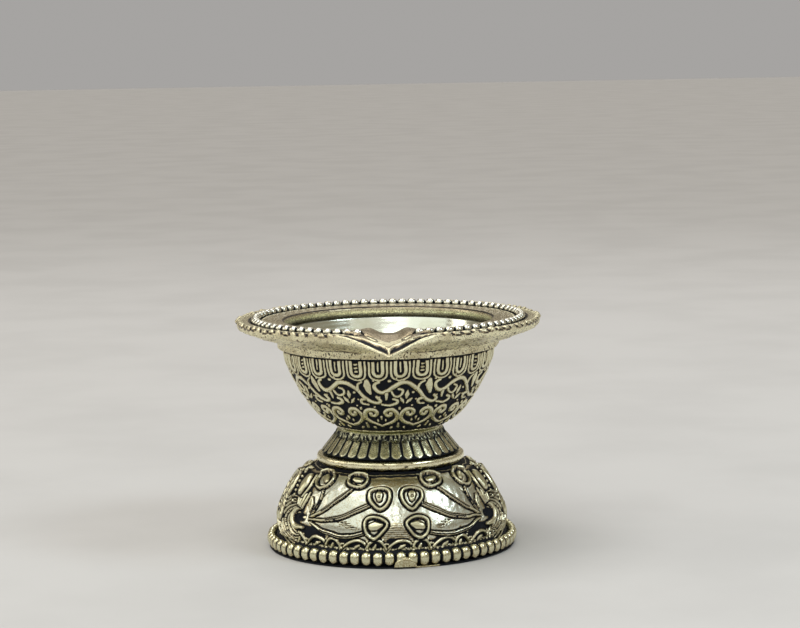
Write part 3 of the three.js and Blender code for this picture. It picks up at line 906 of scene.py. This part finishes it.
class Paint:
    """A Principled material whose inputs are worked out by nodes from a point's place and patina."""

    def __init__(self, name):
        self.material = bpy.data.materials.new(name)
        self.material.use_nodes = True
        self.tree = self.material.node_tree
        self.shader = self.tree.nodes["Principled BSDF"]
        self.where = self.tree.nodes.new("ShaderNodeTexCoord").outputs["Object"]
        self.patina = self.node("ShaderNodeAttribute", attribute_name="patina").outputs["Fac"]
        self.shader.inputs["Specular IOR Level"].default_value = 0.12

    def node(self, kind, **settings):
        node = self.tree.nodes.new(kind)
        for key, value in settings.items():
            setattr(node, key, value)
        return node

    def feed(self, socket, value):
        if isinstance(value, bpy.types.NodeSocket):
            self.tree.links.new(value, socket)
        else:
            socket.default_value = value

    def noise(self, size, detail=3.0, stretch=(1, 1, 1)):
        """Cloudy noise from 0 to 1 with features of a size in millimetres."""
        mapping = self.node("ShaderNodeMapping")
        mapping.inputs["Scale"].default_value = stretch
        self.feed(mapping.inputs["Vector"], self.where)
        noise = self.node("ShaderNodeTexNoise")
        noise.inputs["Scale"].default_value = 1 / (size * MM)
        noise.inputs["Detail"].default_value = detail
        self.feed(noise.inputs["Vector"], mapping.outputs[0])
        return noise.outputs["Fac"]

    def rings(self, size, distortion=1.0):
        """Lines turned into the surface, a size apart in millimetres, as bands of distance from the axis."""
        mapping = self.node("ShaderNodeMapping")
        mapping.inputs["Location"].default_value = (0, -AXIS_Y, 0)
        self.feed(mapping.inputs["Vector"], self.where)
        wave = self.node("ShaderNodeTexWave", wave_type="RINGS", rings_direction="Z")
        wave.inputs["Scale"].default_value = 0.314 / (size * MM)
        wave.inputs["Distortion"].default_value = distortion
        wave.inputs["Detail Scale"].default_value = 0.2
        self.feed(wave.inputs["Vector"], mapping.outputs[0])
        return wave.outputs["Fac"]

    def maths(self, operation, *values):
        node = self.node("ShaderNodeMath", operation=operation)
        for socket, value in zip(node.inputs, values):
            self.feed(socket, value)
        return node.outputs[0]

    def fit(self, value, low, high, to_low=0.0, to_high=1.0):
        """Rescales a value, held between the ends."""
        node = self.node("ShaderNodeMapRange", interpolation_type="SMOOTHSTEP")
        for socket, number in zip(node.inputs, (value, low, high, to_low, to_high)):
            self.feed(socket, number)
        return node.outputs[0]

    def mix(self, share, first, second):
        node = self.node("ShaderNodeMix", data_type="RGBA")
        self.feed(node.inputs[0], share)
        for socket, colour in zip((node.inputs[6], node.inputs[7]), (first, second)):
            self.feed(socket, (*colour, 1) if isinstance(colour, tuple) else colour)
        return node.outputs[2]

    def bump(self, height, depth):
        """Roughens the surface by depth, in millimetres."""
        node = self.node("ShaderNodeBump")
        node.inputs["Distance"].default_value = depth * MM
        self.feed(node.inputs["Height"], height)
        if self.shader.inputs["Normal"].is_linked:
            self.feed(node.inputs["Normal"], self.shader.inputs["Normal"].links[0].from_socket)
        self.feed(self.shader.inputs["Normal"], node.outputs["Normal"])

    def set(self, **inputs):
        for name, value in inputs.items():
            socket = self.shader.inputs[name.replace("_", " ")]
            self.feed(socket, (*value, 1) if isinstance(value, tuple) else value)


PALE_BRASS = (0.80, 0.78, 0.54)
WARM_BRASS = (0.52, 0.44, 0.26)
SANDY_BRASS = (0.95, 0.90, 0.63)
COOL_BRASS = (0.74, 0.77, 0.66)
# Paler brass for the rim's beads, a painted highlight.
PAINTED_HIGHLIGHT_BRASS = (0.92, 0.91, 0.80)
OLIVE_BRASS = (0.42, 0.42, 0.29)
BROWN_BRASS = (0.38, 0.31, 0.20)
BLACK = (0.010, 0.012, 0.017)
SPUN_BRASS = (0.86, 0.90, 0.78)
FILMED_BRASS = (0.72, 0.74, 0.56)
ZINC = (0.55, 0.56, 0.55)
DULL_ZINC = (0.35, 0.33, 0.26)
STONE = (0.60, 0.592, 0.585)
DARKER_STONE = (0.565, 0.557, 0.55)


def antique_brass(
    name, pale=PALE_BRASS, plain=None, dull=WARM_BRASS, roughness=0.24, tarnish=0.35, skin=0.012
):
    """Cast brass, rubbed bright on what stands up and blackened in what lies low. The patina takes the
    metal from its pale colour through the plain one at 0.1 to the dull one at 0.3, then blackens it."""
    paint = Paint(name)
    blotches = paint.noise(3.5, 4)
    freckles = paint.noise(0.35, 3)
    edge = paint.maths("ADD", paint.patina, paint.fit(freckles, 0.3, 0.7, -0.12, 0.12))
    black = paint.fit(edge, 0.38, 0.75)
    worn = paint.mix(paint.fit(blotches, 0.42, 0.68, 0.0, tarnish), pale, WARM_BRASS)
    film = paint.fit(paint.noise(1.1, 4), 0.5, 0.75, 0.0, tarnish)
    filmed = paint.mix(film, worn, OLIVE_BRASS)
    rubbed = paint.mix(paint.fit(paint.patina, 0.02, 0.1), filmed, plain or pale)
    dulled = paint.mix(paint.fit(edge, 0.1, 0.3), rubbed, dull)
    shine = paint.maths("ADD", black, paint.fit(freckles, 0.3, 0.7, -0.1, 0.25))
    paint.set(
        Base_Color=paint.mix(black, dulled, BLACK),
        Metallic=paint.fit(black, 0.2, 1.0, 1.0, 0.25),
        Roughness=paint.fit(shine, 0, 1, roughness, 0.55),
    )
    paint.bump(freckles, skin)
    paint.bump(paint.noise(1.3, 3), skin * 2)
    return paint.material


def sandy_brass():
    """The flange's skirt and top: cast brass with a dull sandy skin and fine black specks."""
    paint = Paint("sandy_brass")
    grains = paint.noise(0.28, 2)
    clouds = paint.noise(4, 4)
    specks = paint.fit(paint.noise(0.24, 2), 0.57, 0.64, 0, 0.75)
    dark = paint.maths("MAXIMUM", paint.patina, specks)
    black = paint.fit(paint.maths("ADD", dark, paint.fit(grains, 0.3, 0.7, -0.15, 0.15)), 0.3, 0.8)
    worn = paint.mix(paint.fit(clouds, 0.4, 0.7, 0.0, 0.6), SANDY_BRASS, WARM_BRASS)
    dulled = paint.mix(paint.fit(paint.patina, 0.0, 0.3), worn, BROWN_BRASS)
    smoother = paint.fit(paint.patina, 0.02, 0.1, 0.0, -0.18)
    paint.set(
        Base_Color=paint.mix(black, dulled, BLACK),
        Metallic=paint.fit(black, 0.2, 1.0, 0.75, 0.25),
        Roughness=paint.maths("ADD", paint.fit(grains, 0.3, 0.7, 0.32, 0.54), smoother),
    )
    paint.bump(grains, 0.07)
    paint.bump(paint.noise(0.9, 3), 0.05)
    return paint.material


def spun_brass():
    """The polished cup: fine turned lines, a light greenish film and a few soft stains."""
    paint = Paint("spun_brass")
    lines = paint.rings(0.35, 0.6)
    stains = paint.noise(6, 2)
    film = paint.fit(stains, 0.45, 0.7, 0, 0.6)
    paint.set(
        Base_Color=paint.mix(paint.patina, paint.mix(film, SPUN_BRASS, FILMED_BRASS), BLACK),
        Metallic=1.0,
        Roughness=paint.fit(paint.maths("ADD", lines, paint.noise(1.5, 3)), 0.4, 1.5, 0.15, 0.24),
    )
    paint.bump(lines, 0.002)
    paint.bump(stains, 0.03)
    return paint.material


def zinc_steel():
    """Plated fasteners with a dulled, faintly yellow skin."""
    paint = Paint("zinc_steel")
    spots = paint.noise(0.8, 4)
    paint.set(
        Base_Color=paint.mix(paint.fit(spots, 0.4, 0.7), ZINC, DULL_ZINC),
        Metallic=1.0,
        Roughness=paint.fit(spots, 0.3, 0.7, 0.28, 0.5),
    )
    paint.bump(spots, 0.01)
    return paint.material


def stone_white():
    """The plain pale floor."""
    paint = Paint("stone_white")
    clouds = paint.noise(60, 5)
    paint.set(
        Base_Color=paint.mix(paint.fit(clouds, 0.35, 0.7), STONE, DARKER_STONE),
        Roughness=paint.fit(clouds, 0.3, 0.7, 0.8, 0.95),
        Specular_IOR_Level=0.0,
    )
    return paint.material


# ---- camera, floor and light ----

def add_camera():
    """A long lens just above the lamp's height, looking a little down at it."""
    lens, distance, height = 108.2, 598, 127
    down, left, roll = math.radians(6.57), math.radians(0.286), math.radians(-1)
    data = bpy.data.cameras.new("camera")
    data.sensor_width = 36
    data.lens = lens
    camera = add_object("camera", data)
    ahead = Vector((math.sin(left), math.cos(left) * math.cos(down), -math.sin(down)))
    camera.location = (0, AXIS_Y - distance * MM, height * MM)
    aim = ahead.to_track_quat("-Z", "Y") @ Matrix.Rotation(roll, 4, "Z").to_quaternion()
    camera.rotation_euler = aim.to_euler()
    bpy.context.scene.camera = camera


def add_floor():
    side = 6
    mesh = bpy.data.meshes.new("floor")
    corners = [(-side, -side, 0), (side, -side, 0), (side, side, 0), (-side, side, 0)]
    mesh.from_pydata(corners, [], [(0, 1, 2, 3)])
    mesh.materials.append(stone_white())
    add_object("floor", mesh)


def add_softbox(name, place, size, power, colour=(1, 1, 1)):
    """A soft light aimed at the lamp."""
    data = bpy.data.lights.new(name, "AREA")
    data.shape = "RECTANGLE"
    data.size, data.size_y = size
    data.energy = power
    data.color = colour
    light = add_object(name, data)
    light.location = place
    aim = Vector((0, AXIS_Y, 0.035)) - light.location
    light.rotation_euler = aim.to_track_quat("-Z", "Y").to_euler()


def add_world():
    """A pale horizon that meets the floor, under a dim warm room."""
    world = bpy.data.worlds.new("studio")
    bpy.context.scene.world = world
    world.use_nodes = True
    nodes, links = world.node_tree.nodes, world.node_tree.links
    direction = nodes.new("ShaderNodeTexCoord")
    split = nodes.new("ShaderNodeSeparateXYZ")
    links.new(direction.outputs["Generated"], split.inputs[0])
    climb = nodes.new("ShaderNodeMapRange")
    climb.inputs["From Min"].default_value = 0.03
    climb.inputs["From Max"].default_value = 0.09
    links.new(split.outputs["Z"], climb.inputs[0])
    mix = nodes.new("ShaderNodeMix")
    mix.data_type = "RGBA"
    mix.inputs[6].default_value = (0.38, 0.37, 0.36, 1)
    mix.inputs[7].default_value = (0.25, 0.22, 0.17, 1)
    links.new(climb.outputs[0], mix.inputs[0])
    links.new(mix.outputs[2], nodes["Background"].inputs["Color"])


def add_sun():
    """Even light from overhead, soft enough to leave no hard shadow."""
    data = bpy.data.lights.new("sky", "SUN")
    data.energy = 1.5
    data.angle = math.radians(52)
    add_object("sky", data).rotation_euler = (math.radians(3), math.radians(-10), 0)


def add_lights():
    add_world()
    add_sun()
    add_softbox("key", (-0.5, -0.5, 0.62), (1.1, 0.8), 2.2, (0.95, 1, 0.97))
    add_softbox("side", (0.62, -0.3, 0.66), (0.26, 0.26), 2, (0.8, 0.92, 1))
    add_softbox("window", (-0.01, -0.56, 0.505), (0.14, 0.13), 0.24, (0.9, 0.97, 1))
    add_softbox("front", (0.2, -0.85, 0.55), (1.3, 0.5), 0.9, (1, 1, 0.96))
    add_softbox("back", (0.1, 0.6, 0.6), (0.7, 0.25), 0.8)
    add_softbox("left", (-0.7, 0.1, 0.3), (0.25, 0.35), 0.6, (1, 0.95, 0.86))
    bpy.context.scene.view_settings.view_transform = "Standard"


# ---- assembly ----

add_camera()
add_floor()
add_lights()

aged = antique_brass("antique_brass")
# Paler, less tarnished brass for the rim's beads: a painted highlight for their bright tops.
bright = antique_brass("painted_highlight_brass", PAINTED_HIGHLIGHT_BRASS, dull=COOL_BRASS, roughness=0.2, tarnish=0.15, skin=0.006)
olive = antique_brass("olive_brass", dull=OLIVE_BRASS)
cool = antique_brass("cool_brass", plain=COOL_BRASS, roughness=0.28, skin=0.018)
ring = antique_brass("ring_brass", pale=SANDY_BRASS, roughness=0.26, tarnish=0.3, skin=0.006)
sandy = sandy_brass()
steel = zinc_steel()

place(oil_cup(), spun_brass(), "bowl_brass", "bowl")
place(bowl_bands(), aged, "bowl_brass", "bowl")
place(flange_casting(), sandy, "antique_brass", "rim_flange")
place(rim_beading(), bright, "antique_brass", "rim_bead_ring")
place(fluted_neck(), olive, "antique_brass", "neck_collar")
place(half_round_ring(), ring, "antique_brass", "seam_ring")
place(dome_relief(), cool, "antique_brass", "base_dome")
place(dome_shell(), aged, "antique_brass", "base_dome")
place(foot_beading(), aged, "antique_brass", "foot_bead_ring")
place(flat_lump(), aged, "antique_brass", "foot_bead_ring")
place(threaded_stud(), steel, "fastener_steel", "tie_stud")
place(bevelled_washer(), steel, "fastener_steel", "washer")
place(chamfered_nut(), steel, "fastener_steel", "hex_nut")
